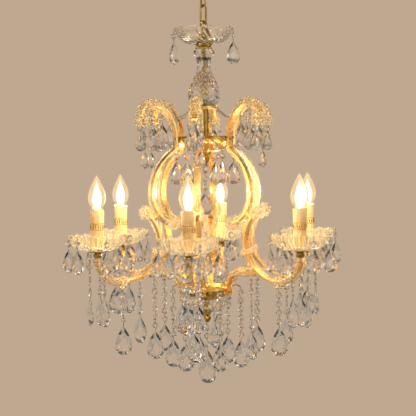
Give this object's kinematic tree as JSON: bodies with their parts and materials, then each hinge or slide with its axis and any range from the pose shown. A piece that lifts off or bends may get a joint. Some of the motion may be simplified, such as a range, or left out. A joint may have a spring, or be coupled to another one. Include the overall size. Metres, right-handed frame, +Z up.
{
  "type": "candelabra chandelier",
  "caption": "Chain-hung candelabra chandelier: gilt bar cage clad in moulded glass, candle lamps in glass drip dishes, bead strings and pear drops.",
  "frame": {"origin": "centre of the two ceiling screws, on the ceiling plane; the light hangs below it", "axes": "+Z up; the first arm along -Y, the others every 60 degrees; ceiling screws along X"},
  "size_m": [0.52, 0.5714, 0.9183],
  "materials": {
    "gilt_metal": "gilt, satin",
    "turned_brass": "polished",
    "cut_crystal": "polished facets",
    "moulded_glass": "moulded, polished",
    "bulb_glass": "clear, lit",
    "candle_sleeve": "ivory, satin",
    "steel": "zinc plated",
    "insulator": "matt white"
  },
  "bodies": {
    "ceiling": {"ceiling_strap": "steel", "ceiling_canopy": "turned_brass", "ceiling_loop": "turned_brass", "terminal_block": "insulator"},
    "link_1": {"chain_link_1": "turned_brass"},
    "link_2": {"chain_link_2": "turned_brass"},
    "link_3": {"chain_link_3": "turned_brass"},
    "link_4": {"chain_link_4": "turned_brass"},
    "frame": {"upper_plate": "gilt_metal", "upper_bowl": "gilt_metal", "garland_ring": "gilt_metal", "stem_spacer": "gilt_metal", "stem_tube": "gilt_metal", "lower_hub": "gilt_metal", "arm_frame_1": "gilt_metal", "arm_frame_2": "gilt_metal", "arm_frame_3": "gilt_metal", "arm_frame_4": "gilt_metal", "arm_frame_5": "gilt_metal", "arm_frame_6": "gilt_metal", "hanging_loop": "turned_brass", "dish_collar": "turned_brass", "stem_finial": "turned_brass", "candle_cups": "turned_brass", "hub_finial": "turned_brass", "upper_drops": "cut_crystal", "garland_strings": "cut_crystal", "arm_strings": "cut_crystal", "bobeche_drops": "cut_crystal", "top_dish": "moulded_glass", "glass_baluster": "moulded_glass", "cage_glass": "moulded_glass", "arm_glass": "moulded_glass", "rosettes": "moulded_glass", "hub_bowl": "moulded_glass", "bobeche_1": "moulded_glass", "bobeche_2": "moulded_glass", "bobeche_3": "moulded_glass", "bobeche_4": "moulded_glass", "bobeche_5": "moulded_glass", "bobeche_6": "moulded_glass", "candle_sleeves": "candle_sleeve", "frame_screws": "steel", "lampholders": "insulator"},
    "bulb_1": {"bulb_1": "bulb_glass"},
    "bulb_2": {"bulb_2": "bulb_glass"},
    "bulb_3": {"bulb_3": "bulb_glass"},
    "bulb_4": {"bulb_4": "bulb_glass"},
    "bulb_5": {"bulb_5": "bulb_glass"},
    "bulb_6": {"bulb_6": "bulb_glass"},
    "cup_string_1": {"cup_string_1": "cut_crystal"},
    "cup_string_2": {"cup_string_2": "cut_crystal"},
    "cup_string_3": {"cup_string_3": "cut_crystal"},
    "cup_string_4": {"cup_string_4": "cut_crystal"},
    "cup_string_5": {"cup_string_5": "cut_crystal"},
    "cup_string_6": {"cup_string_6": "cut_crystal"},
    "dish_drop_1": {"dish_drop_1": "cut_crystal"},
    "dish_drop_2": {"dish_drop_2": "cut_crystal"},
    "centre_string": {"centre_string": "cut_crystal"},
    "bottom_string": {"bottom_string": "cut_crystal"}
  },
  "joints": [
    {"name": "link_1_swing", "type": "hinge", "parent": "ceiling", "child": "link_1", "pos_m": [0, 0, -0.071], "axis": [0.7071, 0.7071, 0], "range_deg": [-20, 20]},
    {"name": "link_2_swing", "type": "hinge", "parent": "link_1", "child": "link_2", "pos_m": [0, 0, -0.1027], "axis": [-0.7071, 0.7071, 0], "range_deg": [-20, 20]},
    {"name": "link_3_swing", "type": "hinge", "parent": "link_2", "child": "link_3", "pos_m": [0, 0, -0.1344], "axis": [-0.7071, -0.7071, 0], "range_deg": [-20, 20]},
    {"name": "link_4_swing", "type": "hinge", "parent": "link_3", "child": "link_4", "pos_m": [0, 0, -0.1661], "axis": [0.7071, -0.7071, 0], "range_deg": [-20, 20]},
    {"name": "frame_swing", "type": "hinge", "parent": "link_4", "child": "frame", "pos_m": [0, 0, -0.1978], "axis": [0.7071, 0.7071, 0], "range_deg": [-20, 20]},
    {"name": "bulb_1_turn", "type": "hinge", "parent": "frame", "child": "bulb_1", "pos_m": [0, -0.227, -0.58], "axis": [0, 0, 1], "continuous": true},
    {"name": "bulb_2_turn", "type": "hinge", "parent": "frame", "child": "bulb_2", "pos_m": [0.19659, -0.1135, -0.58], "axis": [0, 0, 1], "continuous": true},
    {"name": "bulb_3_turn", "type": "hinge", "parent": "frame", "child": "bulb_3", "pos_m": [0.19659, 0.1135, -0.58], "axis": [0, 0, 1], "continuous": true},
    {"name": "bulb_4_turn", "type": "hinge", "parent": "frame", "child": "bulb_4", "pos_m": [0, 0.227, -0.58], "axis": [0, 0, 1], "continuous": true},
    {"name": "bulb_5_turn", "type": "hinge", "parent": "frame", "child": "bulb_5", "pos_m": [-0.19659, 0.1135, -0.58], "axis": [0, 0, 1], "continuous": true},
    {"name": "bulb_6_turn", "type": "hinge", "parent": "frame", "child": "bulb_6", "pos_m": [-0.19659, -0.1135, -0.58], "axis": [0, 0, 1], "continuous": true},
    {"name": "cup_string_1_swing", "type": "hinge", "parent": "frame", "child": "cup_string_1", "pos_m": [0, -0.2434, -0.6463], "axis": [0, -1, 0], "range_deg": [-12, 12]},
    {"name": "cup_string_2_swing", "type": "hinge", "parent": "frame", "child": "cup_string_2", "pos_m": [0.21079, -0.1217, -0.6463], "axis": [0.866, -0.5, 0], "range_deg": [-12, 12]},
    {"name": "cup_string_3_swing", "type": "hinge", "parent": "frame", "child": "cup_string_3", "pos_m": [0.21079, 0.1217, -0.6463], "axis": [0.866, 0.5, 0], "range_deg": [-12, 12]},
    {"name": "cup_string_4_swing", "type": "hinge", "parent": "frame", "child": "cup_string_4", "pos_m": [0, 0.2434, -0.6463], "axis": [0, 1, 0], "range_deg": [-12, 12]},
    {"name": "cup_string_5_swing", "type": "hinge", "parent": "frame", "child": "cup_string_5", "pos_m": [-0.21079, 0.1217, -0.6463], "axis": [-0.866, 0.5, 0], "range_deg": [-12, 12]},
    {"name": "cup_string_6_swing", "type": "hinge", "parent": "frame", "child": "cup_string_6", "pos_m": [-0.21079, -0.1217, -0.6463], "axis": [-0.866, -0.5, 0], "range_deg": [-12, 12]},
    {"name": "dish_drop_1_swing", "type": "hinge", "parent": "frame", "child": "dish_drop_1", "pos_m": [0.05853, 0.00822, -0.209], "axis": [0.9903, 0.1392, 0], "range_deg": [-20, 20]},
    {"name": "dish_drop_2_swing", "type": "hinge", "parent": "frame", "child": "dish_drop_2", "pos_m": [-0.05853, -0.00822, -0.209], "axis": [-0.9903, -0.1392, 0], "range_deg": [-20, 20]},
    {"name": "centre_string_swing", "type": "hinge", "parent": "frame", "child": "centre_string", "pos_m": [0, 0, -0.4793], "axis": [1, 0, 0], "range_deg": [-8, 8]},
    {"name": "bottom_string_swing", "type": "hinge", "parent": "frame", "child": "bottom_string", "pos_m": [0, 0, -0.7953], "axis": [1, 0, 0], "range_deg": [-12, 12]}
  ]
}
